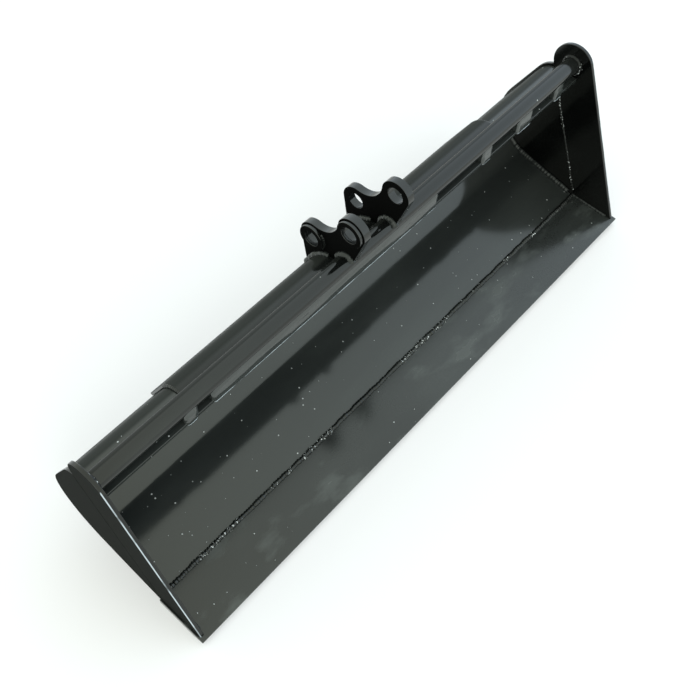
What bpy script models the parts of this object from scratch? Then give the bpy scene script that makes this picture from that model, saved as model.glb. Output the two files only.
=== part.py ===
"""Ditching bucket for a one-tonne mini excavator, a welded steel assembly of flat and bent plate.

X runs across the bucket, from the left side to the right. Y runs from the cutting edge at the front to
the back, and Z runs up. The cutting edge lies flat on the ground. Section points are pairs (y, z), with
y measured back from the tip of the cutting edge; the empty "bucket" puts the origin under the middle.
Metres throughout.
"""
import math

import bmesh
import bpy
from mathutils import Vector

# Driving dimensions
WIDTH = 1.000                 # cutting edge, end to end
EDGE_DEPTH = 0.084            # flat bar of the cutting edge, front to back
EDGE_THICK = 0.012
EDGE_BEVEL = 0.020            # ground bevel under the tip
EDGE_NOSE = 0.004             # blunt height left at the tip
EDGE_OVERHANG = 0.003         # cutting edge beyond each side plate
SHELL_THICK = 0.006
SIDE_THICK = 0.006
SIDE_RIM = 0.004              # side plate standing out beyond the shell
ROOT_GAP = 0.004              # opening between cutting edge and shell, filled by the weld
FLOOR_START = 8.5             # slope of the floor where it leaves the cutting edge, degrees
FLOOR_RADIUS = 1.910          # almost flat rise of the floor
FLOOR_END = 12.0              # slope of the floor where the heel starts, degrees
HEEL_RADIUS = 0.0765
BACK_LEAN = 117.3             # heading of the straight back, degrees
BACK_LENGTH = 0.0797
LIP_RADIUS = 0.032            # roll of the top lip, under the tube
LIP_LENGTH = 0.033
TUBE_DIAMETER = 0.0269
TUBE_WALL = 0.0032
TUBE_FROM_LIP = 0.0152        # tube's axis behind the front of the lip
DOUBLER_THICK = 0.005
DOUBLER_LEFT = -0.335
DOUBLER_RIGHT = 0.310
DOUBLER_SETBACK = 0.010       # doubler's front edge behind the front of the lip
CUTTER_WIDTH = 0.070          # side cutter bar, round at the top
CUTTER_LEAN = 63.3            # lean of the mouth, degrees from the ground
EAR_THICK = 0.012
EAR_GAP = 0.076               # clear width between the ears
EAR_LOBE_RADIUS = 0.023
EAR_VALLEY_RADIUS = 0.037
PIN_BORE = 0.0255
PIN_SPACING = 0.088
FRONT_PIN = (-0.003, 0.0625)  # dipper pin from the tube's axis
PIN_LINE = -44.0              # direction from the front pin to the rear pin, degrees
EAR_BACK_LEAN = 257.0         # direction of the ear's rear edge, degrees
EAR_TIP_ANGLE = 145.0         # front end of the ear's seat on the tube, degrees
EAR_SEAT_ANGLE = -50.0        # rear end of that seat
COLLAR_RADIUS = 0.0205
COLLAR_LENGTH = 0.005
FILLET = 0.005                # leg of the general fillet weld
TUBE_FILLET = 0.0045
COLLAR_FILLET = 0.0035
BEAD_HEIGHT = 0.0018
BEAD_WIDTH = 0.007
FRONT_WELD = (-0.315, 0.133)  # long weld between tube and lip, from and to across the width
STITCHES = ((-0.360, -0.338), (0.238, 0.264), (0.326, 0.367), (0.425, 0.450))
GAP = 0.0003                  # clearance between neighbouring solids
ARC_STEP = 7.5                # degrees per facet of a bend

SIDE_OUTER = WIDTH / 2 - EDGE_OVERHANG
SIDE_INNER = SIDE_OUTER - SIDE_THICK
TUBE_RADIUS = TUBE_DIAMETER / 2


def clear_scene():
    for item in list(bpy.data.objects):
        bpy.data.objects.remove(item, do_unlink=True)


def paint(name, shade=0.016, roughness=0.28):
    """Black enamel over steel."""
    material = bpy.data.materials.new(name + "_paint")
    material.use_nodes = True
    shader = material.node_tree.nodes["Principled BSDF"]
    shader.inputs["Base Color"].default_value = (shade, shade * 1.08, shade * 1.1, 1.0)
    shader.inputs["Roughness"].default_value = roughness
    shader.inputs["Metallic"].default_value = 0.0
    return material


# Section geometry -----------------------------------------------------------------------------------

def polar(centre, radius, degrees):
    angle = math.radians(degrees)
    return (centre[0] + radius * math.cos(angle), centre[1] + radius * math.sin(angle))


def arc(centre, radius, start, end, step=ARC_STEP):
    """Points along an arc, both ends included."""
    count = max(2, round(abs(end - start) / step))
    return [polar(centre, radius, start + (end - start) * i / count) for i in range(count + 1)]


class Walk:
    """A plate's centre path in the section: straight runs and left-hand bends, as (point, heading)."""

    def __init__(self, start, heading=0.0):
        self.steps = [(Vector(start), heading)]

    def straight(self, length):
        point, heading = self.steps[-1]
        self.steps.append((Vector(polar(point, length, heading)), heading))

    def bend(self, radius, heading, step=ARC_STEP):
        point, before = self.steps[-1]
        centre = polar(point, radius, before + 90.0)
        count = max(2, round((heading - before) / step))
        for i in range(1, count + 1):
            now = before + (heading - before) * i / count
            self.steps.append((Vector(polar(centre, radius, now - 90.0)), now))

    def offset(self, distance):
        """The path moved out, away from the inside of the bucket."""
        return [polar(point, distance, heading - 90.0) for point, heading in self.steps]

    def part(self, first, last):
        """A walk over some of the steps."""
        piece = Walk((0.0, 0.0))
        piece.steps = self.steps[first:last]
        return piece


def shell_walk(start_y):
    """Inner face of the shell, from the cutting edge over the heel and the back to the top lip."""
    walk = Walk((start_y, EDGE_THICK), FLOOR_START)
    walk.bend(FLOOR_RADIUS, FLOOR_END, step=1.0)
    walk.bend(HEEL_RADIUS, BACK_LEAN)
    walk.straight(BACK_LENGTH)
    walk.bend(LIP_RADIUS, 180.0)
    walk.straight(LIP_LENGTH)
    return walk


SHELL = shell_walk(EDGE_DEPTH)
LIP_TIP = SHELL.steps[-1][0]
TUBE = (LIP_TIP.x + TUBE_FROM_LIP,
        LIP_TIP.y + SHELL_THICK + DOUBLER_THICK + TUBE_RADIUS + 2 * GAP)
PIN_A = (TUBE[0] + FRONT_PIN[0], TUBE[1] + FRONT_PIN[1])
PIN_B = polar(PIN_A, PIN_SPACING, PIN_LINE)
DEPTH = max(point[0] for point in SHELL.offset(SHELL_THICK + SIDE_RIM))
BACK_START = len(SHELL.steps) - 2 - round((180.0 - BACK_LEAN) / ARC_STEP)   # foot of the straight back


# Solids ---------------------------------------------------------------------------------------------

def new_object(name, verts, faces, material, parent):
    mesh = bpy.data.meshes.new(name)
    mesh.from_pydata(verts, [], faces)
    mesh.validate()
    item = bpy.data.objects.new(name, mesh)
    bpy.context.collection.objects.link(item)
    item.data.materials.append(material)
    item.parent = parent
    return item


def area(outline):
    pairs = zip(outline, outline[1:] + outline[:1])
    return sum(a[0] * b[1] - b[0] * a[1] for a, b in pairs) / 2


def prism(name, outline, left, right, parent, smooth=False):
    """A section outline run across the bucket from left to right."""
    if area(outline) < 0:
        outline = outline[::-1]
    count = len(outline)
    verts = [(x, y, z) for x in (left, right) for y, z in outline]
    sides = [(i, (i + 1) % count, (i + 1) % count + count, i + count) for i in range(count)]
    faces = [tuple(reversed(range(count)))] + [f[::-1] for f in sides] + [tuple(range(count, 2 * count))]
    faces = [f[::-1] for f in faces] if left > right else faces
    item = new_object(name, verts, faces, paint(name), parent)
    fix_normals(item)
    if smooth:
        shade_round(item)
    return item


def loft(name, rings, parent, closed=False):
    """A solid through a row of rings of points; closed joins the last ring to the first."""
    size = len(rings[0])
    verts = [tuple(point) for ring in rings for point in ring]
    last = len(rings) if closed else len(rings) - 1
    faces = []
    for i in range(last):
        near = i * size
        far = ((i + 1) % len(rings)) * size
        for j in range(size):
            k = (j + 1) % size
            faces.append((near + j, near + k, far + k, far + j))
    if not closed:
        faces.append(tuple(reversed(range(size))))
        faces.append(tuple(range((len(rings) - 1) * size, len(rings) * size)))
    item = new_object(name, verts, faces, paint(name, roughness=0.35), parent)
    fix_normals(item)
    shade_round(item)
    return item


def fix_normals(item):
    """Turn every face outward."""
    mesh = bmesh.new()
    mesh.from_mesh(item.data)
    bmesh.ops.recalc_face_normals(mesh, faces=mesh.faces)
    mesh.to_mesh(item.data)
    mesh.free()


def shade_round(item):
    item.data.shade_smooth()
    item.data.set_sharp_from_angle(angle=math.radians(35.0))


def bore(item, centre, radius, left, right, parent, sides=40):
    """Cut a round hole across the bucket through a solid."""
    ring = arc(centre, radius, 0.0, 360.0, step=360.0 / sides)[:-1]
    cutter = prism(item.name + "_cutter_" + str(len(item.modifiers)), ring, left, right, parent)
    cutter.hide_render = True
    cutter.display_type = "WIRE"
    cut = item.modifiers.new("bore", "BOOLEAN")
    cut.object = cutter
    cut.operation = "DIFFERENCE"
    cut.solver = "EXACT"
    shade_round(item)


# Pieces ---------------------------------------------------------------------------------------------

def cutting_edge(parent):
    outline = [(0.0, EDGE_THICK), (0.0, EDGE_THICK - EDGE_NOSE), (EDGE_BEVEL, 0.0),
               (EDGE_DEPTH - GAP, 0.0), (EDGE_DEPTH - GAP, EDGE_THICK)]
    prism("cutting_edge", outline, -WIDTH / 2, WIDTH / 2, parent)


def shell_plate(parent):
    walk = shell_walk(EDGE_DEPTH)
    walk.steps[0] = (Vector((EDGE_DEPTH + ROOT_GAP, EDGE_THICK)), FLOOR_START)
    outline = walk.offset(0.0) + walk.offset(SHELL_THICK)[::-1]
    inset = SIDE_INNER - GAP
    prism("shell_plate", outline, -inset, inset, parent, smooth=True)


def cutter_line(side):
    """The side cutter's two long edges: foot and shoulder of the one on this side of its middle."""
    shoulder = polar(TUBE, CUTTER_WIDTH / 2, CUTTER_LEAN + 90.0 * side)
    run = (shoulder[1] - EDGE_THICK - GAP) / math.sin(math.radians(CUTTER_LEAN))
    foot = polar(shoulder, -run, CUTTER_LEAN)
    return foot, shoulder


def side_cutters(parent):
    """Flat bar on each side of the mouth: it stands on the cutting edge, its round top holds the tube."""
    front_foot, _ = cutter_line(1)
    rear_foot, _ = cutter_line(-1)
    head = arc(TUBE, CUTTER_WIDTH / 2, CUTTER_LEAN + 90.0, CUTTER_LEAN - 90.0)
    outline = [front_foot] + head + [rear_foot]
    for name, side in (("left", -1), ("right", 1)):
        prism(name + "_side_cutter", outline, side * SIDE_INNER, side * SIDE_OUTER, parent)


def side_plates(parent):
    """The plate behind each side cutter, standing a little way out beyond the shell."""
    foot, shoulder = cutter_line(-1)
    rim = SHELL.offset(SHELL_THICK + SIDE_RIM)
    along = Vector(polar((0.0, 0.0), 1.0, CUTTER_LEAN))
    across = Vector(polar((0.0, 0.0), 1.0, CUTTER_LEAN - 90.0))
    kept = [p for p in rim if (Vector(p) - Vector(shoulder)).dot(across) > GAP
            and (Vector(p) - Vector(shoulder)).dot(along) < CUTTER_WIDTH / 10]
    low = rim[0][1]
    heel = EDGE_DEPTH + GAP
    seam_foot = Vector(foot) + across * GAP * 2
    seam_top = Vector(shoulder) + across * GAP * 2
    outline = [(heel, low)] + [p for p in kept if p[0] > heel + GAP]
    outline += [tuple(seam_top), (seam_foot.x, seam_foot.y)]
    if seam_foot.x > heel:
        outline.append((heel, EDGE_THICK))
    for name, side in (("left", -1), ("right", 1)):
        prism(name + "_side_plate", outline, side * SIDE_INNER, side * SIDE_OUTER, parent)


def torque_tube(parent):
    end = SIDE_INNER - GAP
    ring = arc(TUBE, TUBE_RADIUS, 0.0, 360.0, step=9.0)[:-1]
    tube = prism("torque_tube", ring, -end, end, parent)
    bore(tube, TUBE, TUBE_RADIUS - TUBE_WALL, -WIDTH / 2, WIDTH / 2, parent)


def doubler_plate(parent):
    """Second plate over the back and the lip, under the tube and the ears."""
    walk = SHELL.part(BACK_START - 1, len(SHELL.steps))
    tip, heading = walk.steps[-1]
    walk.steps[-1] = (Vector((tip.x + DOUBLER_SETBACK, tip.y)), heading)
    outline = walk.offset(SHELL_THICK + GAP) + walk.offset(SHELL_THICK + DOUBLER_THICK)[::-1]
    prism("doubler_plate", outline, DOUBLER_LEFT, DOUBLER_RIGHT, parent, smooth=True)
    return walk


def ear_outline(walk):
    """Front edge, front lobe, valley, rear lobe, rear edge, then back along the doubler and the tube."""
    seat = TUBE_RADIUS + GAP
    reach = EAR_LOBE_RADIUS + EAR_VALLEY_RADIUS
    middle = (Vector(PIN_A) + Vector(PIN_B)) / 2
    rise = math.sqrt(reach ** 2 - (PIN_SPACING / 2) ** 2)
    valley = polar(middle, rise, PIN_LINE + 90.0)
    lean = math.degrees(math.atan2(rise, PIN_SPACING / 2))
    front_lobe = arc(PIN_A, EAR_LOBE_RADIUS, 180.0, PIN_LINE + lean)
    hollow = arc(valley, EAR_VALLEY_RADIUS, PIN_LINE + lean + 180.0, PIN_LINE - lean + 360.0)
    rear_lobe = arc(PIN_B, EAR_LOBE_RADIUS, PIN_LINE + 180.0 - lean, EAR_BACK_LEAN - 270.0)
    skin = walk.offset(SHELL_THICK + DOUBLER_THICK + GAP)
    tangent = Vector(rear_lobe[-1])
    edge = Vector(polar((0.0, 0.0), 1.0, EAR_BACK_LEAN))
    low = Vector(skin[1])
    up = Vector(skin[2]) - low
    # where the rear edge runs into the doubler's straight back
    run = ((low - tangent).x * up.y - (low - tangent).y * up.x) / (edge.x * up.y - edge.y * up.x)
    foot = tangent + edge * run
    climb = [p for p in skin if p[1] > foot.y and p[0] > TUBE[0] + seat]
    saddle = arc(TUBE, seat, EAR_SEAT_ANGLE, EAR_TIP_ANGLE)
    return front_lobe + hollow[1:-1] + rear_lobe + [tuple(foot)] + climb + saddle


def ears(parent, walk):
    outline = ear_outline(walk)
    inner = EAR_GAP / 2
    for name, side in (("left", -1), ("right", 1)):
        ear = prism(name + "_ear", outline, side * inner, side * (inner + EAR_THICK), parent)
        for pin in (PIN_A, PIN_B):
            bore(ear, pin, PIN_BORE / 2, side * (inner - EAR_THICK), side * (inner + 2 * EAR_THICK), parent)


def collars(parent):
    """Rings that lengthen the bores on the outside of the left ear."""
    face = -(EAR_GAP / 2 + EAR_THICK + GAP)
    for name, pin in (("front", PIN_A), ("rear", PIN_B)):
        ring = arc(pin, COLLAR_RADIUS, 0.0, 360.0, step=9.0)[:-1]
        collar = prism("left_ear_" + name + "_collar", ring, face, face - COLLAR_LENGTH, parent)
        bore(collar, pin, PIN_BORE / 2, face - 2 * COLLAR_LENGTH, 0.0, parent)


# Welds ----------------------------------------------------------------------------------------------

def edge_welds(parent):
    """The butt weld between cutting edge and shell, and the fillet under it."""
    end = SIDE_INNER - GAP
    front = EDGE_DEPTH
    rear = EDGE_DEPTH + ROOT_GAP - GAP
    middle = (front + rear) / 2
    low = EDGE_THICK + 2 * GAP
    crown = [(middle + BEAD_WIDTH / 2 * math.cos(t), low + BEAD_HEIGHT * math.sin(t))
             for t in [math.pi * i / 8 for i in range(9)]]
    outline = [(front, EDGE_THICK - SHELL_THICK), (rear, EDGE_THICK - SHELL_THICK),
               (rear, low)] + crown + [(front, low)]
    prism("edge_butt_weld", outline, -end, end, parent, smooth=True)
    top = EDGE_THICK - SHELL_THICK - GAP
    under = [(front, top), (front + FILLET * 1.6, top), (front, top - FILLET)]
    prism("edge_underside_weld", under, -end, end, parent)


def corner_welds(parent):
    """Fillet inside each end of the shell, from the cutting edge to the lip."""
    walk = shell_walk(EDGE_DEPTH)
    rise = BEAD_WIDTH / 2 * math.tan(math.radians(FLOOR_END))
    start = Vector((EDGE_DEPTH + ROOT_GAP + BEAD_WIDTH / 2, EDGE_THICK + rise))
    walk.steps[0] = (start, FLOOR_START)
    near = walk.offset(-GAP)
    far = walk.offset(-GAP - FILLET)
    for name, side in (("left", -1), ("right", 1)):
        wall = side * (SIDE_INNER - GAP)
        toe = side * (SIDE_INNER - GAP - FILLET)
        rings = [[(wall, *a), (toe, *a), (wall, *b)] for a, b in zip(near, far)]
        loft(name + "_corner_weld", rings, parent)


def foot_welds(parent):
    """Fillet inside the foot of each side cutter, along the cutting edge."""
    front_foot, _ = cutter_line(1)
    rear = EDGE_DEPTH - BEAD_WIDTH
    low = EDGE_THICK + GAP
    for name, side in (("left", -1), ("right", 1)):
        wall = side * (SIDE_INNER - GAP)
        toe = side * (SIDE_INNER - GAP - FILLET)
        rings = [[(wall, y, low), (toe, y, low), (wall, y, low + FILLET)]
                 for y in (front_foot[0] + 2 * FILLET, rear)]
        loft(name + "_foot_weld", rings, parent)


def seam_welds(parent):
    """Bead on both faces of the joint between side cutter and side plate."""
    foot, shoulder = cutter_line(-1)
    foot = Vector(foot)
    along = (Vector(shoulder) - foot).normalized()
    across = Vector((along.y, -along.x))
    length = (Vector(shoulder) - foot).length
    for name, side in (("left", -1), ("right", 1)):
        for face, plane, out, first, last in (
                ("inner", SIDE_INNER - GAP, -1, 2.5 * FILLET, length - 5.0 * FILLET),
                ("outer", SIDE_OUTER + GAP, 1, FILLET, length - FILLET)):
            height = BEAD_HEIGHT * (1.0 if face == "inner" else 0.4)
            rings = []
            for run in (first, last):
                centre = foot + along * run
                ring = []
                for i in range(7):
                    angle = math.pi * i / 6
                    point = centre + across * (BEAD_WIDTH / 2 * math.cos(angle))
                    ring.append((side * (plane + out * height * math.sin(angle)), *point))
                rings.append(ring)
            loft(name + "_seam_weld_" + face, rings, parent)


def tube_end_welds(parent):
    """Fillet ring round each end of the tube, on the side cutter."""
    angles = [9.0 * i for i in range(40)]
    near = TUBE_RADIUS + GAP
    for name, side in (("left", -1), ("right", 1)):
        wall = side * (SIDE_INNER - GAP)
        toe = side * (SIDE_INNER - GAP - TUBE_FILLET)
        rings = [[(wall, *polar(TUBE, near, a)), (toe, *polar(TUBE, near, a)),
                  (wall, *polar(TUBE, near + TUBE_FILLET, a))] for a in angles]
        loft(name + "_tube_end_weld", rings, parent, closed=True)


def front_weld_outline():
    """The filled corner between the front of the tube and the top of the lip."""
    near = TUBE_RADIUS + GAP
    tube_side = arc(TUBE, near, 185.0, 232.0)
    lip_top = LIP_TIP.y + SHELL_THICK + GAP
    root = LIP_TIP.x + DOUBLER_SETBACK - GAP
    return tube_side + [(root, lip_top), (LIP_TIP.x + GAP, lip_top)]


def tube_front_welds(parent):
    """One long weld in front of the ears, and short stitches towards both ends."""
    outline = front_weld_outline()
    prism("tube_front_weld", outline, *FRONT_WELD, parent, smooth=True)
    for number, (left, right) in enumerate(STITCHES, start=1):
        prism("tube_stitch_weld_%d" % number, outline, left, right, parent, smooth=True)


def ear_welds(parent, walk):
    """Fillets round the tube and down the doubler, on both faces of each ear."""
    near = TUBE_RADIUS + GAP
    angles = [EAR_SEAT_ANGLE + 20.0 + 7.5 * i for i in range(23)]
    skin = walk.part(0, len(walk.steps) - 4)
    low = skin.offset(SHELL_THICK + DOUBLER_THICK + GAP)
    high = skin.offset(SHELL_THICK + DOUBLER_THICK + GAP + FILLET)
    start = 0.68
    low[0] = tuple(Vector(low[0]).lerp(Vector(low[1]), start))
    high[0] = tuple(Vector(high[0]).lerp(Vector(high[1]), start))
    for name, side in (("left", -1), ("right", 1)):
        for face, plane, out in (("inner", EAR_GAP / 2 - GAP, -1),
                                 ("outer", EAR_GAP / 2 + EAR_THICK + GAP, 1)):
            wall = side * plane
            toe = side * (plane + out * FILLET)
            rings = [[(wall, *polar(TUBE, near, a)), (toe, *polar(TUBE, near, a)),
                      (wall, *polar(TUBE, near + FILLET, a))] for a in angles]
            loft("%s_ear_tube_weld_%s" % (name, face), rings, parent)
            rings = [[(wall, *a), (toe, *a), (wall, *b)] for a, b in zip(low, high)]
            loft("%s_ear_foot_weld_%s" % (name, face), rings, parent)


def collar_welds(parent):
    """Fillet round each collar where the ear reaches beyond it."""
    face = -(EAR_GAP / 2 + EAR_THICK + GAP)
    near = COLLAR_RADIUS + GAP
    for name, pin, start, end in (("front", PIN_A, -105.0, -25.0), ("rear", PIN_B, 130.0, 205.0)):
        count = 14
        rings = []
        for i in range(count + 1):
            a = start + (end - start) * i / count
            rings.append([(face, *polar(pin, near, a)), (face - COLLAR_FILLET, *polar(pin, near, a)),
                          (face, *polar(pin, near + COLLAR_FILLET, a))])
        loft("left_ear_%s_collar_weld" % name, rings, parent)


def doubler_welds(parent, walk):
    """Fillets down both ends of the doubler."""
    low = walk.offset(SHELL_THICK + GAP)[1:-1]
    high = walk.offset(SHELL_THICK + GAP + DOUBLER_THICK - GAP)[1:-1]
    for name, x, out in (("left", DOUBLER_LEFT - GAP, -1), ("right", DOUBLER_RIGHT + GAP, 1)):
        rings = [[(x, *a), (x + out * DOUBLER_THICK, *a), (x, *b)] for a, b in zip(low, high)]
        loft("doubler_%s_weld" % name, rings, parent)


def build():
    clear_scene()
    bucket = bpy.data.objects.new("bucket", None)
    bpy.context.collection.objects.link(bucket)
    bucket.location = (0.0, -DEPTH / 2, 0.0)
    cutting_edge(bucket)
    shell_plate(bucket)
    side_cutters(bucket)
    side_plates(bucket)
    torque_tube(bucket)
    walk = doubler_plate(bucket)
    ears(bucket, walk)
    collars(bucket)
    edge_welds(bucket)
    corner_welds(bucket)
    foot_welds(bucket)
    seam_welds(bucket)
    tube_end_welds(bucket)
    tube_front_welds(bucket)
    ear_welds(bucket, walk)
    collar_welds(bucket)
    doubler_welds(bucket, walk)


build()
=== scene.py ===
"""A metre-wide ditching bucket for a mini excavator: bent and welded steel plate in gloss black enamel."""
import itertools
import math

import bmesh
import bpy
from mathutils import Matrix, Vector, noise


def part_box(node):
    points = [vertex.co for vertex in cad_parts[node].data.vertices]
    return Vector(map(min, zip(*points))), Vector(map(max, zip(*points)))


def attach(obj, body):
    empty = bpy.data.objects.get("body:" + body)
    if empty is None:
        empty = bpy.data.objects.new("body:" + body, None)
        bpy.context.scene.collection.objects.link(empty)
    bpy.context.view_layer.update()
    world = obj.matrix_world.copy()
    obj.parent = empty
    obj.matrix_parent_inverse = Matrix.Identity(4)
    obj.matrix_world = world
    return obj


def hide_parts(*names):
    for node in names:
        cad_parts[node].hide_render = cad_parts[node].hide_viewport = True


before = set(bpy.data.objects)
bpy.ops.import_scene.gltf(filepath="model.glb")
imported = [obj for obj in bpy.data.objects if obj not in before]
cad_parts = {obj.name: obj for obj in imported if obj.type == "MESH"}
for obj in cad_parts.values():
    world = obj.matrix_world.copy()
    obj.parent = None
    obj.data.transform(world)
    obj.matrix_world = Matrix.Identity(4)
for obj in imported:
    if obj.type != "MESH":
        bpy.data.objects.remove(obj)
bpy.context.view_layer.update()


# Floor, light and camera ------------------------------------------------------------------------------
# The bucket stands on a plain pale floor in an evenly lit studio. The room's pale walls, a little bluer
# to the right, are what the enamel mirrors, and one faint lamp in front lifts the glints on the welds.

floor_reach = 30.0
floor_drop = 0.0005
floor_corners = [(x * floor_reach, y * floor_reach, -floor_drop)
                 for x, y in ((-1, -1), (1, -1), (1, 1), (-1, 1))]
floor_mesh = bpy.data.meshes.new("floor")
floor_mesh.from_pydata(floor_corners, [], [(0, 1, 2, 3)])
floor = bpy.data.objects.new("floor", floor_mesh)
bpy.context.scene.collection.objects.link(floor)
floor_paint = bpy.data.materials.new("pale_floor")
floor_paint.use_nodes = True
floor_shader = floor_paint.node_tree.nodes["Principled BSDF"]
floor_shader.inputs["Base Color"].default_value = (0.52, 0.52, 0.52, 1)
floor_shader.inputs["Roughness"].default_value = 0.9
floor_shader.inputs["Emission Color"].default_value = (1, 1, 1, 1)
floor_shader.inputs["Emission Strength"].default_value = 0.25
floor_mesh.materials.append(floor_paint)

room = bpy.data.worlds.new("studio")
room.use_nodes = True
backdrop = room.node_tree.nodes["Background"]
backdrop.inputs["Strength"].default_value = 1.6
look = room.node_tree.nodes.new("ShaderNodeTexCoord")
sideways = room.node_tree.nodes.new("ShaderNodeSeparateXYZ")
walls = room.node_tree.nodes.new("ShaderNodeValToRGB")
left_wall, right_wall = walls.color_ramp.elements
left_wall.position, left_wall.color = 0.15, (0.95, 1.0, 0.93, 1)
right_wall.position, right_wall.color = 0.75, (0.98, 1.12, 1.28, 1)
room.node_tree.links.new(look.outputs["Generated"], sideways.inputs[0])
room.node_tree.links.new(sideways.outputs["X"], walls.inputs["Fac"])
room.node_tree.links.new(walls.outputs["Color"], backdrop.inputs["Color"])
bpy.context.scene.world = room
bpy.context.scene.view_settings.view_transform = "Standard"

lamp = bpy.data.lights.new("front_lamp", "AREA")
lamp.shape = "RECTANGLE"
lamp.size = lamp.size_y = 1.6
lamp.energy = 12
lamp_place = Vector((-1.6, -2.2, 2.4))
lamp_aim = Vector((0.0, 0.0, 0.1))
lamp_item = bpy.data.objects.new("front_lamp", lamp)
bpy.context.scene.collection.objects.link(lamp_item)
lamp_item.location = lamp_place
lamp_item.rotation_euler = (lamp_aim - lamp_place).to_track_quat("-Z", "Y").to_euler()

lens = bpy.data.cameras.new("camera")
lens.sensor_width = 36.0
lens.lens = 46.98
lens.shift_x = 0.0429
lens.shift_y = 0.0029
lens.clip_start = 0.05
camera = bpy.data.objects.new("camera", lens)
bpy.context.scene.collection.objects.link(camera)
camera.location = (-0.6478, -0.4102, 1.2402)
camera.rotation_euler = [math.radians(turn) for turn in (31.24, -2.34, -47.59)]
bpy.context.scene.camera = camera


# Cutting edge -----------------------------------------------------------------------------------------
# A flat bar of wear steel, 84 by 12 mm, with a ground bevel under its front. Its corners are worn round,
# and the enamel on its top is rubbed and carries dusty smudges.

def outward(mesh):
    """Merge doubles and turn every face outward."""
    shape = bmesh.new()
    shape.from_mesh(mesh)
    bmesh.ops.remove_doubles(shape, verts=shape.verts, dist=1e-6)
    bmesh.ops.recalc_face_normals(shape, faces=shape.faces)
    shape.to_mesh(mesh)
    shape.free()


def new_piece(name, verts, faces):
    """A closed piece from its points and faces."""
    mesh = bpy.data.meshes.new(name)
    mesh.from_pydata([tuple(v) for v in verts], [], faces)
    outward(mesh)
    item = bpy.data.objects.new(name, mesh)
    bpy.context.scene.collection.objects.link(item)
    return item


def plate(name, outline, left, right, round_edge):
    """A section outline, as (y, z) points, run across the bucket, with edges rounded unless that is 0."""
    count = len(outline)
    verts = [(x, y, z) for x in (left, right) for y, z in outline]
    faces = [(i, (i + 1) % count, (i + 1) % count + count, i + count) for i in range(count)]
    faces += [tuple(range(count)), tuple(range(count, 2 * count))]
    item = new_piece(name, verts, faces)
    if round_edge:
        soften(item, round_edge)
    return item


def soften(item, width):
    """Round every edge that turns by more than 32 degrees."""
    item.data.shade_smooth()
    edge = item.modifiers.new("rounded_edge", "BEVEL")
    edge.width = width
    edge.segments = 3
    edge.limit_method = "ANGLE"
    edge.angle_limit = math.radians(32.0)
    edge.harden_normals = True
    edge.use_clamp_overlap = True


def settle(item):
    """Turn the piece and its modifiers into a plain mesh."""
    ready = item.evaluated_get(bpy.context.evaluated_depsgraph_get())
    mesh = bpy.data.meshes.new_from_object(ready)
    item.modifiers.clear()
    item.data = mesh
    return item


class Shade:
    """A socket of a node tree. Arithmetic on it adds the Math nodes."""

    def __init__(self, tree, socket=None):
        self.tree = tree
        self.socket = socket

    def node(self, kind, settings, values, output=0):
        """Any node: its settings first, then its sockets by number or identifier."""
        made = self.tree.nodes.new(kind)
        for name, value in settings.items():
            setattr(made, name, value)
        for key, value in values.items():
            taken = made.inputs[key] if isinstance(key, int) else next(
                i for i in made.inputs if i.identifier == key)
            if isinstance(value, Shade):
                self.tree.links.new(value.socket, taken)
            else:
                taken.default_value = value
        return Shade(self.tree, made.outputs[output])

    def maths(self, operation, *values):
        """A Math node on numbers and sockets."""
        return self.node("ShaderNodeMath", {"operation": operation}, dict(enumerate(values)))

    def apply(self, operation):
        """A Math node on this socket alone."""
        return self.maths(operation, self)

    def __add__(self, other):
        return self.maths("ADD", self, other)

    def __sub__(self, other):
        return self.maths("SUBTRACT", self, other)

    def __rsub__(self, other):
        return self.maths("SUBTRACT", other, self)

    def __mul__(self, other):
        return self.maths("MULTIPLY", self, other)

    def __truediv__(self, other):
        return self.maths("DIVIDE", self, other)

    __radd__ = __add__
    __rmul__ = __mul__

    def ramp(self, low, high):
        """0 below low and 1 above high, eased between them."""
        return self.node("ShaderNodeMapRange", {"interpolation_type": "SMOOTHSTEP"},
                         {"Value": self, "From Min": low, "From Max": high})

    def cloud(self, place, scale, detail=3.0, stretch=(1.0, 1.0, 1.0)):
        """Noise over the surface, drawn out along an axis by a small stretch."""
        where = self.node("ShaderNodeMapping", {}, {"Vector": place, "Scale": stretch})
        return self.node("ShaderNodeTexNoise", {}, {"Vector": where, "Scale": scale, "Detail": detail})

    def mix(self, share, first, second):
        """Two colours, the second where share is 1."""
        return self.node("ShaderNodeMix", {"data_type": "RGBA"},
                         {"Factor_Float": share, "A_Color": first, "B_Color": second}, output=2)


dust_grey = (0.046, 0.052, 0.049, 1)
# White for dust nibs, and for painted glints of light.
speck_and_glint_white = (0.5, 0.53, 0.52, 1)
# Bright steel grey for enamel broken through to steel, and for a painted highlight.
steel_and_highlight_grey = (0.44, 0.50, 0.54, 1)


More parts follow.
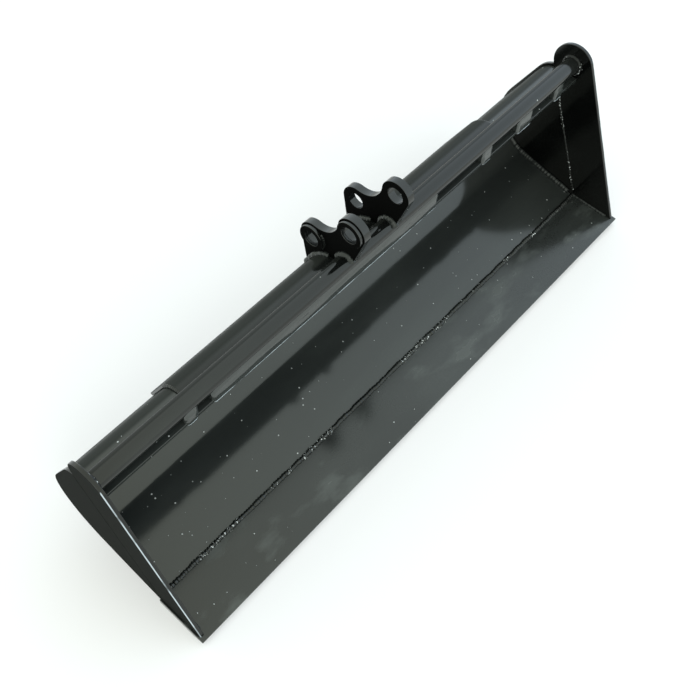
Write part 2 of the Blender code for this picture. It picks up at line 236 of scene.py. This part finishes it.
def enamel(name, black=0.0035, film=0.25, nibs=0.5, peel=0.3, gloss=0.09, rub=0.0, run=(1, 1, 1), shine=0.5,
           glint=0.0, painted_shade=None, wear_and_highlight=None):
    """Gloss black enamel: a dusty film in soft clouds, dust nibs, orange peel and slow waves in the plate.

    rub adds pale scuffs, glint small white spots that are painted glints of light, and run draws the clouds
    out along the way the plate was wiped. dull lays painted shade, a matt and darker finish: going by "place"
    or by
    "normal" along an axis, past a limit, its share of the finish there, and its grey. worn is a thin bright
    line, steel where the enamel is broken through on the side bars and a painted highlight on the front weld:
    past a reach along a way, and past a distance to either side."""
    material = bpy.data.materials.new(name)
    material.use_nodes = True
    tree = material.node_tree
    shader = tree.nodes["Principled BSDF"]
    flow = Shade(tree)
    place = flow.node("ShaderNodeTexCoord", {}, {}, output=3)
    cloud = flow.cloud(place, 5.0, 5.0, run).ramp(0.42, 0.68)
    wiped = flow.cloud(place, 16.0, 6.0, run).ramp(0.45, 0.75)
    grain = flow.cloud(place, 260.0, 2.0)
    dot, lot = (flow.node("ShaderNodeTexVoronoi", {"feature": "F1"}, {"Vector": place, "Scale": 130.0}, output)
                for output in (0, 1))
    chosen, size = (flow.node("ShaderNodeSeparateColor", {}, {0: lot}, output) for output in (0, 1))
    herd = flow.cloud(place, 6.0, 2.0)
    picked = (chosen + herd * 0.5).ramp(1.235 - 0.12 * nibs, 1.245 - 0.12 * nibs)
    nib = (1.0 - (dot - size * size * 0.10).ramp(0.03, 0.08)) * picked
    scuff = flow.cloud(place, 12.0, 8.0, (1.0, 2.0, 1.0)).ramp(0.52, 0.68) * rub
    dust = (cloud * 0.5 + wiped * 0.5) * film * (0.6 + 0.8 * grain)
    tone = flow.mix(dust + scuff, (black, black * 1.15, black * 1.1, 1), dust_grey)
    rough = gloss + 0.05 * cloud + 0.05 * wiped + 0.15 * scuff + 0.3 * nib
    specks_and_glints = nib * 0.8
    # Painted glints: small white spots mixed into the colour stand in for highlights of light.
    if glint:
        patch = flow.cloud(place, 24.0, 2.0).ramp(0.62 - 0.2 * glint, 0.66 - 0.2 * glint)
        specks_and_glints = specks_and_glints + flow.cloud(place, 380.0, 1.0).ramp(0.60, 0.70) * patch
    tone = flow.mix(specks_and_glints, tone, speck_and_glint_white)
    # A thin bright line: steel showing through the enamel on the side bars, a painted highlight on the front
    # weld.
    if wear_and_highlight:
        reach = flow.node("ShaderNodeVectorMath", {"operation": "DOT_PRODUCT"}, {0: place, 1: wear_and_highlight["way"]},
                          output=1)
        ragged = flow.cloud(place, 60.0, 4.0) * 0.0016
        aside = flow.node("ShaderNodeSeparateXYZ", {}, {0: place}).apply("ABSOLUTE")
        chip_and_highlight = (reach + ragged).ramp(wear_and_highlight["reach"], wear_and_highlight["reach"] + 0.0006)
        chip_and_highlight = chip_and_highlight * (aside + ragged * 0.4).ramp(wear_and_highlight["aside"], wear_and_highlight["aside"] + 0.0006)
        chip_and_highlight = chip_and_highlight * flow.cloud(place, 25.0, 3.0).ramp(0.3, 0.55)
        tone = flow.mix(chip_and_highlight * 0.9, tone, steel_and_highlight_grey)
        rough = rough + 0.2 * chip_and_highlight
    height = (flow.cloud(place, 420.0, 1.0) * 0.00003 * peel + flow.cloud(place, 11.0, 2.0, run) * 0.00005
              + nib * 0.0002)
    bump = flow.node("ShaderNodeBump", {}, {"Height": height, "Distance": 1.0, "Strength": 1.0})
    for key, value in (("Base Color", tone), ("Roughness", rough), ("Normal", bump)):
        tree.links.new(value.socket, shader.inputs[key])
    shader.inputs["IOR"].default_value = 1.52
    shader.inputs["Specular IOR Level"].default_value = shine
    shader.inputs["Specular Tint"].default_value = (0.97, 1.0, 0.94, 1)
    # Painted shade: a matt, darker finish mixed in where a face's place or facing passes the limit.
    if painted_shade:
        facing = flow.node("ShaderNodeTexCoord", {}, {}, output=1)
        source, border = (place, 0.0003) if painted_shade["by"] == "place" else (facing, 0.2)
        value = flow.node("ShaderNodeSeparateXYZ", {}, {0: source}, output=painted_shade["axis"])
        value = value.apply("ABSOLUTE") if painted_shade["axis"] == 0 else value
        over = value.ramp(painted_shade["limit"], painted_shade["limit"] + border) * painted_shade["share"]
        grey = painted_shade["grey"]
        shade_tone = flow.mix(specks_and_glints, (grey, grey * 1.12, grey, 1), speck_and_glint_white)
        matt = flow.node("ShaderNodeBsdfPrincipled", {},
                         {"Base Color": shade_tone, "Roughness": 0.85, "Specular IOR Level": 0.03, "Normal": bump})
        both = flow.node("ShaderNodeMixShader", {}, {0: over, 1: Shade(tree, shader.outputs[0]), 2: matt})
        tree.links.new(both.socket, tree.nodes["Material Output"].inputs["Surface"])
    return material


def dress(item, node, material):
    """Give a piece its finish and its place in the model."""
    item.data.materials.clear()
    item.data.materials.append(material)
    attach(item, "root")
    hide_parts(node)


edge_low, edge_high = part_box("cutting_edge")
tip = edge_low.y
edge_bevel = 0.020
edge_nose = 0.004
edge_section = [(tip, edge_high.z), (tip, edge_high.z - edge_nose), (tip + edge_bevel, 0.0),
                (edge_high.y, 0.0), (edge_high.y, edge_high.z)]
edge_bar = plate("edge_bar", edge_section, edge_low.x, edge_high.x, 0.0009)
edge_enamel = enamel("rubbed_edge_enamel", black=0.008, film=0.5, nibs=0.5, rub=0.8, gloss=0.12,
                     run=(0.35, 1, 1))
dress(edge_bar, "cutting_edge", edge_enamel)


# Shell ------------------------------------------------------------------------------------------------
# One 6 mm sheet, bent in a press from the floor through the heel and the straight back to the top lip.
# Inside, its enamel carries dust nibs and faint wipe marks along the bucket.

def polar(centre, radius, degrees):
    """The point of the (y, z) plane at an angle and a distance from a centre."""
    turn = math.radians(degrees)
    return (centre[0] + radius * math.cos(turn), centre[1] + radius * math.sin(turn))


def arc(centre, radius, start, end, step=3.0):
    """Points along an arc, about step degrees apart."""
    count = max(2, round(abs(end - start) / step))
    return [polar(centre, radius, start + (end - start) * i / count) for i in range(count + 1)]


floor_start = 8.5
floor_end = 12.0
floor_radius = 1.910
heel_radius = 0.0765
back_lean = 117.3
back_length = 0.0797
lip_radius = 0.032
lip_length = 0.033


def bent_sheet(start):
    """The inside face of the shell, as (point, heading) pairs from the floor to the lip."""
    path = [(start, floor_start)]
    for radius, heading, step, straight in ((floor_radius, floor_end, 0.35, 0.0),
                                            (heel_radius, back_lean, 2.0, back_length),
                                            (lip_radius, 180.0, 3.0, lip_length)):
        point, before = path[-1]
        centre = polar(point, radius, before + 90.0)
        count = round((heading - before) / step)
        for i in range(1, count + 1):
            now = before + (heading - before) * i / count
            path.append((polar(centre, radius, now - 90.0), now))
        if straight:
            path.append((polar(path[-1][0], straight, heading), heading))
    return path


def offset(path, distance):
    """The path's points, moved outward from the bucket's inside."""
    return [polar(point, distance, heading - 90.0) for point, heading in path]


edge_depth = 0.084
sheet = 0.006
inside = bent_sheet((tip + edge_depth, edge_high.z))
lip = inside[-1][0]
shell_low, shell_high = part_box("shell_plate")
edge_overlap = 0.004
shell_path = [((tip + edge_depth + edge_overlap, edge_high.z), floor_start)] + inside[2:]
shell_section = offset(shell_path, 0.0) + offset(shell_path, sheet)[::-1]
shell = plate("shell_sheet", shell_section, shell_low.x, shell_high.x, 0.0007)
# Faces turned towards the back get painted shade: matt and darker.
rear_face_shade = {"by": "normal", "axis": 1, "limit": 0.2, "share": 0.86, "grey": 0.02}
shell_enamel = enamel("shell_enamel", black=0.016, film=0.35, nibs=1.6, run=(0.25, 1, 1),
                      painted_shade=rear_face_shade)
dress(shell, "shell_plate", shell_enamel)


# Sides ------------------------------------------------------------------------------------------------
# On each side a flat bar stands on the cutting edge, its round head holding the tube, and a 6 mm plate
# behind it closes the bucket and stands 4 mm proud of the shell. The outer faces are made matt and near
# black as painted shade, and the bar's outer front corner is chipped to bright steel.

tube_low, tube_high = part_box("torque_tube")
tube = ((tube_low.y + tube_high.y) / 2, (tube_low.z + tube_high.z) / 2)
cutter_width = 0.070
cutter_lean = 63.3
front_way = polar((0, 0), 1.0, cutter_lean + 90.0)
front_reach = tube[0] * front_way[0] + tube[1] * front_way[1] + cutter_width / 2
side_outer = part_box("right_side_plate")[1].x
# The outer faces of the side plates and bars get painted shade: matt and near black.
side_enamel = enamel(
    "side_enamel", black=0.0015, film=0.08, nibs=-1.0, shine=0.4,
    painted_shade={"by": "place", "axis": 0, "limit": side_outer - 0.0006, "share": 1.0, "grey": 0.010})
bar_enamel = enamel(
    "side_bar_enamel", black=0.0015, film=0.08, nibs=-1.0, shine=0.4,
    painted_shade={"by": "place", "axis": 0, "limit": side_outer - 0.0003, "share": 1.0, "grey": 0.010},
    wear_and_highlight={"way": (0.0, *front_way), "reach": front_reach - 0.0006, "aside": side_outer - 0.0015})


def cutter_side(side):
    """Foot and shoulder of the bar's front edge (side 1) or rear edge (side -1)."""
    shoulder = polar(tube, cutter_width / 2, cutter_lean + 90.0 * side)
    foot = polar(shoulder, -(shoulder[1] - edge_high.z) / math.sin(math.radians(cutter_lean)), cutter_lean)
    return foot, shoulder


def side_plate_outline(node):
    """The plate's outline, taken round the CAD node's outer face."""
    mesh = bmesh.new()
    mesh.from_mesh(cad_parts[node].data)
    bmesh.ops.remove_doubles(mesh, verts=mesh.verts, dist=1e-6)
    face_x = max(v.co.x for v in mesh.verts)
    flat = {v for v in mesh.verts if abs(v.co.x - face_x) < 1e-5}
    rim = [e for e in mesh.edges if set(e.verts) <= flat
           and any(not set(f.verts) <= flat for f in e.link_faces)]
    links = {}
    for e in rim:
        a, b = e.verts
        links.setdefault(a, []).append(b)
        links.setdefault(b, []).append(a)
    first = rim[0].verts[0]
    loop, here, last = [first], links[first][0], first
    while here is not first:
        loop.append(here)
        here, last = next(v for v in links[here] if v is not last), here
    outline = [(v.co.y, v.co.z) for v in loop]
    mesh.free()
    return outline


for name in ("left", "right"):
    low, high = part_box(name + "_side_cutter")
    bar_section = ([cutter_side(1)[0]] + arc(tube, cutter_width / 2, cutter_lean + 90, cutter_lean - 90, 2.5)
                   + [cutter_side(-1)[0]])
    bar = plate(name + "_cutter_bar", bar_section, low.x, high.x, 0.0010)
    dress(bar, name + "_side_cutter", bar_enamel)
    low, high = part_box(name + "_side_plate")
    cheek = plate(name + "_cheek", side_plate_outline(name + "_side_plate"), low.x, high.x, 0.0008)
    dress(cheek, name + "_side_plate", side_enamel)


# Tube -------------------------------------------------------------------------------------------------
# A 26.9 mm steel pipe runs from side to side above the lip and stiffens the mouth. Its ends are closed
# by the side bars, and it was painted in place.

tube_radius = (tube_high.z - tube_low.z) / 2
tube_wall = 0.0032
ring = arc(tube, tube_radius, 0, 360, 4)[:-1]
bore_ring = arc(tube, tube_radius - tube_wall, 0, 360, 4)[:-1]
count = len(ring)
verts = [(x, *p) for x in (tube_low.x, tube_high.x) for p in ring + bore_ring]
faces = []
for i in range(count):
    k = (i + 1) % count
    faces += [(i, k, k + 2 * count, i + 2 * count), (count + i, count + k, k + 3 * count, i + 3 * count),
              (i, k, count + k, count + i), (2 * count + i, 2 * count + k, 3 * count + k, 3 * count + i)]
pipe = new_piece("stiffening_pipe", verts, faces)
pipe.data.shade_smooth()
pipe.data.set_sharp_from_angle(angle=math.radians(40))
# Tube faces turned towards the back get painted shade: matt and darker.
tube_enamel = enamel(
    "tube_enamel", film=0.35, nibs=0.5, run=(0.2, 1, 1), shine=0.42,
    painted_shade={"by": "normal", "axis": 1, "limit": 0.1, "share": 0.6, "grey": 0.012})
dress(pipe, "torque_tube", tube_enamel)


# Doubler ----------------------------------------------------------------------------------------------
# A 5 mm plate follows the back and the lip under the tube, and spreads the pull of the ears. It stops
# short of the heel, and is painted with the shell.

gap = 0.0003
doubler_sheet = 0.005
doubler_low, doubler_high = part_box("doubler_plate")
back_foot = max(i for i, (point, heading) in enumerate(inside) if abs(heading - back_lean) < 0.01) - 1
doubler_path = inside[back_foot:]
doubler_path[-1] = ((doubler_low.y, lip[1]), 180.0)
doubler_section = offset(doubler_path, sheet + gap) + offset(doubler_path, sheet + doubler_sheet)[::-1]
doubler = plate("back_doubler", doubler_section, doubler_low.x, doubler_high.x, 0.0008)
# The doubler's faces turned towards the back get the same painted shade.
doubler_enamel = enamel("doubler_enamel", black=0.006, film=0.3, nibs=0.5, run=(0.25, 1, 1), shine=0.3,
                        painted_shade=rear_face_shade)
dress(doubler, "doubler_plate", doubler_enamel)


# Ears and collars -------------------------------------------------------------------------------------
# Two 12 mm ears, cut by flame, sit on the tube and the doubler, 76 mm apart. Each has a bore for the
# dipper pin in front and one for the link pin behind, and the left ear's bores are lengthened by rings.

pin_bore = 0.0255
pin_spacing = 0.088
pin_line = -44.0
lobe = 0.023
valley = 0.037
rear_tangent = -13
rear_fall = 257
front_pin = (tube[0] - 0.003, tube[1] + 0.0625)
rear_pin = polar(front_pin, pin_spacing, pin_line)
# The flat faces of the ears and rings get painted shade: matt and near black.
ear_enamel = enamel(
    "ear_enamel", black=0.004, film=0.15, nibs=0.4, peel=0.6, gloss=0.14,
    painted_shade={"by": "normal", "axis": 0, "limit": 0.75, "share": 1.0, "grey": 0.0014})


def drill(item, centre, left, right):
    """Bore a round hole across the bucket through a piece."""
    bit = plate("bit", arc(centre, pin_bore / 2, 0, 360, 4)[:-1], left, right, 0)
    cut = item.modifiers.new("bore", "BOOLEAN")
    cut.object = bit
    cut.solver = "EXACT"
    settle(item)
    bpy.data.objects.remove(bit)


def ear_section():
    """Round both lobes and the hollow between them, down to the doubler, and back over the tube."""
    reach = lobe + valley
    middle = ((front_pin[0] + rear_pin[0]) / 2, (front_pin[1] + rear_pin[1]) / 2)
    rise = math.sqrt(reach ** 2 - (pin_spacing / 2) ** 2)
    hollow = polar(middle, rise, pin_line + 90)
    lean = math.degrees(math.atan2(rise, pin_spacing / 2))
    outline = arc(front_pin, lobe, 180, pin_line + lean)
    outline += arc(hollow, valley, pin_line + lean + 180, pin_line - lean + 360)[1:-1]
    outline += arc(rear_pin, lobe, pin_line + 180 - lean, rear_tangent)
    skin = offset(doubler_path, sheet + doubler_sheet + gap)
    low, up = Vector(skin[0]), Vector(skin[1]) - Vector(skin[0])
    start = Vector(outline[-1])
    fall = Vector(polar((0, 0), 1, rear_fall))
    run = ((low - start).x * up.y - (low - start).y * up.x) / (fall.x * up.y - fall.y * up.x)
    foot = start + fall * run
    seat = tube_radius + gap
    outline.append(tuple(foot))
    outline += [p for p in skin if p[1] > foot.y and p[0] > tube[0] + seat]
    return outline + arc(tube, seat, -50, 145)


for name in ("left", "right"):
    low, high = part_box(name + "_ear")
    ear = plate(name + "_lug", ear_section(), low.x, high.x, 0)
    for pin in (front_pin, rear_pin):
        drill(ear, pin, low.x - 0.01, high.x + 0.01)
    outward(ear.data)
    soften(ear, 0.0014)
    dress(ear, name + "_ear", ear_enamel)

for name, pin in (("front", front_pin), ("rear", rear_pin)):
    low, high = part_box("left_ear_%s_collar" % name)
    collar = plate(name + "_pin_ring", arc(pin, (high.z - low.z) / 2, 0, 360, 4)[:-1], low.x, high.x, 0)
    drill(collar, pin, low.x - 0.01, high.x + 0.01)
    outward(collar.data)
    soften(collar, 0.0008)
    dress(collar, "left_ear_%s_collar" % name, ear_enamel)


# Welds ------------------------------------------------------------------------------------------------
# Hand-run arc welds hold every joint. A bead is a rope of overlapping ripples, a little uneven in width
# and line, lying half sunk in its corner under the enamel. Small white spots painted on many of them are
# painted glints of light.

def bead_tree():
    """Sweeps a rippled round bead along the edges of a mesh."""
    tree = bpy.data.node_groups.new("rippled_bead", "GeometryNodeTree")
    tree.interface.new_socket("Path", in_out="INPUT", socket_type="NodeSocketGeometry")
    for name, value in (("Radius", 0.003), ("Pitch", 0.003), ("Ripple", 0.2), ("Wander", 0.0006),
                        ("Seed", 0.0)):
        tree.interface.new_socket(name, in_out="INPUT", socket_type="NodeSocketFloat").default_value = value
    tree.interface.new_socket("Enamel", in_out="INPUT", socket_type="NodeSocketMaterial")
    tree.interface.new_socket("Bead", in_out="OUTPUT", socket_type="NodeSocketGeometry")
    given = tree.nodes.new("NodeGroupInput").outputs
    flow = Shade(tree)
    pitch = Shade(tree, given["Pitch"])
    radius = Shade(tree, given["Radius"])
    ripple = Shade(tree, given["Ripple"])
    seed = Shade(tree, given["Seed"])
    path = flow.node("GeometryNodeMeshToCurve", {}, {0: Shade(tree, given["Path"])})
    path = flow.node("GeometryNodeResampleCurve", {"mode": "LENGTH"}, {"Curve": path, "Length": pitch / 5})
    place = flow.node("GeometryNodeInputPosition", {}, {})
    along = flow.node("GeometryNodeSplineParameter", {}, {}, output=1)
    slow = flow.node("ShaderNodeTexNoise", {"noise_dimensions": "4D"},
                     {"Vector": place, "W": seed, "Scale": 55.0, "Detail": 2.0})
    drift = flow.node("ShaderNodeTexNoise", {"noise_dimensions": "4D"},
                      {"Vector": place, "W": seed + 7.0, "Scale": 70.0, "Detail": 3.0}, output=1)
    beat = (along / pitch + slow * 3.0).apply("FRACT")
    swing = beat * 2.0 - 1.0
    hump = (1.0 - swing * swing).apply("SQRT")
    scale = radius * (1.0 - ripple + ripple * hump) * (0.72 + 0.56 * slow)
    shift = flow.node("ShaderNodeVectorMath", {"operation": "SUBTRACT"}, {0: drift, 1: (0.5, 0.5, 0.5)})
    shift = flow.node("ShaderNodeVectorMath", {"operation": "SCALE"},
                      {0: shift, "Scale": Shade(tree, given["Wander"]) * 2.0})
    path = flow.node("GeometryNodeSetPosition", {}, {"Geometry": path, "Offset": shift})
    ring = flow.node("GeometryNodeCurvePrimitiveCircle", {}, {"Resolution": 12, "Radius": 1.0})
    bead = flow.node("GeometryNodeCurveToMesh", {},
                     {"Curve": path, "Profile Curve": ring, "Scale": scale, "Fill Caps": True})
    bead = flow.node("GeometryNodeSetShadeSmooth", {}, {"Geometry": bead})
    bead = flow.node("GeometryNodeSetMaterial", {},
                     {"Geometry": bead, "Material": Shade(tree, given["Enamel"])})
    bead = flow.node("GeometryNodeRealizeInstances", {}, {"Geometry": bead})
    end = tree.nodes.new("NodeGroupOutput")
    tree.links.new(bead.socket, end.inputs["Bead"])
    return tree


ripples = bead_tree()
# The welds and the broken seams carry painted glints of light.
weld_enamel = enamel("weld_enamel", black=0.005, film=0.35, nibs=1.0, peel=1.2, gloss=0.12, shine=0.35,
                     glint=0.35)
seam_enamel = enamel("broken_seam_enamel", black=0.004, film=0.2, nibs=1.0, peel=1.2, gloss=0.2, shine=0.2,
                     glint=0.9)
corner_enamel = enamel("corner_weld_enamel", black=0.014, film=0.5, nibs=0.5, peel=1.0, gloss=0.2, shine=0.3)
seeds = itertools.count(1)


def bead(name, node, points, radius, pitch=0.0032, ripple=0.30, wander=0.0005, closed=False,
         finish=weld_enamel):
    """One weld bead through points, standing for a CAD weld. ripple is the depth of its ripples as a share
    of the radius, pitch their spacing, and wander how far its line strays."""
    mesh = bpy.data.meshes.new(name)
    edges = [(i, i + 1) for i in range(len(points) - 1)] + ([(len(points) - 1, 0)] if closed else [])
    mesh.from_pydata([tuple(p) for p in points], edges, [])
    item = bpy.data.objects.new(name, mesh)
    bpy.context.scene.collection.objects.link(item)
    sweep = item.modifiers.new("bead", "NODES")
    sweep.node_group = ripples
    sizes = {"Radius": radius, "Pitch": pitch, "Ripple": ripple, "Wander": wander,
             "Seed": 3.7 * next(seeds), "Enamel": finish}
    for socket in ripples.interface.items_tree:
        if socket.in_out == "INPUT" and socket.name in sizes:
            sweep[socket.identifier] = sizes[socket.name]
    settle(item)
    outward(item.data)
    dress(item, node, finish)
    return item


side_inner = shell_high.x
floor_top = edge_high.z
foot_weld_start = 0.010
foot_weld_lift = 0.0056
ring_weld_radius = 0.0207
doubler_weld_lift = 0.0010
joint = tip + edge_depth
butt_line = (joint + 0.002, floor_top - 0.0006)
under_line = (joint + 0.0012, 0.0048)
bead("edge_bead", "edge_butt_weld", [(-side_inner, *butt_line), (side_inner, *butt_line)],
     0.0044, pitch=0.0045, ripple=0.45, wander=0.0022)
bead("under_bead", "edge_underside_weld", [(-side_inner, *under_line), (side_inner, *under_line)], 0.0034)
for name, side in (("left", -1), ("right", 1)):
    wall = side * side_inner
    bead(name + "_corner_bead", name + "_corner_weld",
         [(wall, *p) for p in offset(inside[1:], -0.0002)],
         0.0054, pitch=0.006, ripple=0.15, wander=0.0012, finish=corner_enamel)
    front = cutter_side(1)[0][0] + foot_weld_start
    bead(name + "_foot_bead", name + "_foot_weld",
         [(wall, front, floor_top + 0.0004), (wall, joint, floor_top + 0.0002)],
         0.0030, pitch=0.006, ripple=0.2, finish=corner_enamel)
    foot, shoulder = (Vector(p) for p in cutter_side(-1))
    seam_low, seam_high = foot.lerp(shoulder, 0.05), foot.lerp(shoulder, 0.90)
    bead(name + "_seam_bead_inner", name + "_seam_weld_inner",
         [(wall + side * 0.0008, *seam_low), (wall + side * 0.0008, *seam_high)],
         0.0026, pitch=0.007, ripple=0.6, wander=0.0010, finish=seam_enamel)
    outer = side * (side_outer - 0.0012)
    bead(name + "_seam_bead_outer", name + "_seam_weld_outer",
         [(outer, *foot.lerp(shoulder, 0.03)), (outer, *foot.lerp(shoulder, 0.97))],
         0.0016, ripple=0.2, finish=side_enamel)
    bead(name + "_tube_end_bead", name + "_tube_end_weld",
         [(wall, *p) for p in arc(tube, tube_radius + 0.0004, 0, 360, 6)[:-1]],
         0.0042, pitch=0.007, ripple=0.35, wander=0.0018, closed=True, finish=seam_enamel)
    ear_low, ear_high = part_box(name + "_ear")
    faces_x = {"inner": min(abs(ear_low.x), abs(ear_high.x)), "outer": max(abs(ear_low.x), abs(ear_high.x))}
    skin = offset(doubler_path, sheet + foot_weld_lift)
    foot_path = [Vector(skin[0]).lerp(Vector(skin[1]), 0.66)] + skin[1:-6]
    for face, out in (("inner", -1), ("outer", 1)):
        x = side * (faces_x[face] + out * 0.0004)
        bead("%s_lug_tube_bead_%s" % (name, face), "%s_ear_tube_weld_%s" % (name, face),
             [(x, *p) for p in arc(tube, tube_radius - 0.0014, -30, 145)],
             0.0062, pitch=0.0055, wander=0.0032, finish=corner_enamel)
        bead("%s_lug_foot_bead_%s" % (name, face), "%s_ear_foot_weld_%s" % (name, face),
             [(x, *p) for p in foot_path],
             0.0052, pitch=0.0055, wander=0.0024, finish=corner_enamel)

for name, pin, start, end in (("front", front_pin, -105, -25), ("rear", rear_pin, 130, 205)):
    low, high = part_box("left_ear_%s_collar" % name)
    bead(name + "_ring_bead", "left_ear_%s_collar_weld" % name,
         [(high.x, *p) for p in arc(pin, ring_weld_radius, start, end)], 0.0022)

for name, x in (("left", doubler_low.x), ("right", doubler_high.x)):
    bead(name + "_doubler_bead", "doubler_%s_weld" % name,
         [(x, *p) for p in offset(doubler_path[1:-1], sheet + doubler_weld_lift)], 0.0036)


# Front weld and stitches ------------------------------------------------------------------------------
# The corner between the tube and the lip is filled by one broad weld in front of the ears, laid in long
# overlapping runs and smoothed by thick paint, and by short stitches towards both ends. A thin bright line
# along their lower edges is a painted highlight.

lip_top = lip[1] + sheet
face_rows = 14
face_swell = 0.0012
end_taper = 0.006
end_rise = 0.004
# The bright line along its lower edge is a painted highlight.
apron_enamel = enamel(
    "front_weld_enamel", black=0.026, film=0.6, nibs=0.8, gloss=0.12, run=(0.2, 1, 1),
    wear_and_highlight={"way": (0.0, 0.0, -1.0), "reach": -lip[1] - 0.0007, "aside": -1.0})


def filled_corner(name, node, left, right, seed, step=0.0012):
    """A broad weld face from the front of the tube down to the front of the lip, tapering at its ends."""
    rows = []
    count = max(6, round((right - left) / step))
    for i in range(count + 1):
        x = left + (right - left) * i / count
        shrink = min(1.0, (min(x - left, right - x) + 0.0006) / end_taper) ** 0.5
        top = Vector(polar(tube, tube_radius - 0.0002, 176 + 24 * (1 - shrink)))
        rise = end_rise * (1 - shrink)
        base = Vector((lip[0] - 0.0014 + rise, lip[1] - 0.0003 + rise))
        back = Vector((lip[0] + 0.009, lip_top - 0.0012))
        normal = Vector((-(top - base).y, (top - base).x)).normalized()
        normal = normal if normal.x < 0 else -normal
        row = []
        for j in range(face_rows):
            t = j / (face_rows - 1)
            point = top.lerp(base, t)
            swell = face_swell * math.sin(math.pi * t) * shrink
            streak = noise.noise(Vector((x * 14, t * 3.0, seed))) * 0.0008
            streak += noise.noise(Vector((x * 70, t * 3.0, seed + 5))) * 0.0002
            point += normal * (swell + streak * math.sin(math.pi * t))
            row.append((x, *point))
        row += [(x, *back), (x, *polar(tube, tube_radius - 0.001, 240))]
        rows.append(row)
    size = len(rows[0])
    verts = [p for row in rows for p in row]
    faces = [(i * size + j, i * size + (j + 1) % size, (i + 1) * size + (j + 1) % size, (i + 1) * size + j)
             for i in range(len(rows) - 1) for j in range(size)]
    faces += [tuple(range(size)), tuple(range((len(rows) - 1) * size, len(rows) * size))]
    item = new_piece(name, verts, faces)
    item.data.shade_smooth()
    item.data.set_sharp_from_angle(angle=math.radians(50))
    dress(item, node, apron_enamel)


low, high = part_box("tube_front_weld")
filled_corner("front_weld_face", "tube_front_weld", low.x, high.x, 2.0)
for number in range(1, 5):
    low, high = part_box("tube_stitch_weld_%d" % number)
    filled_corner("stitch_%d" % number, "tube_stitch_weld_%d" % number, low.x, high.x, 10.0 * number)
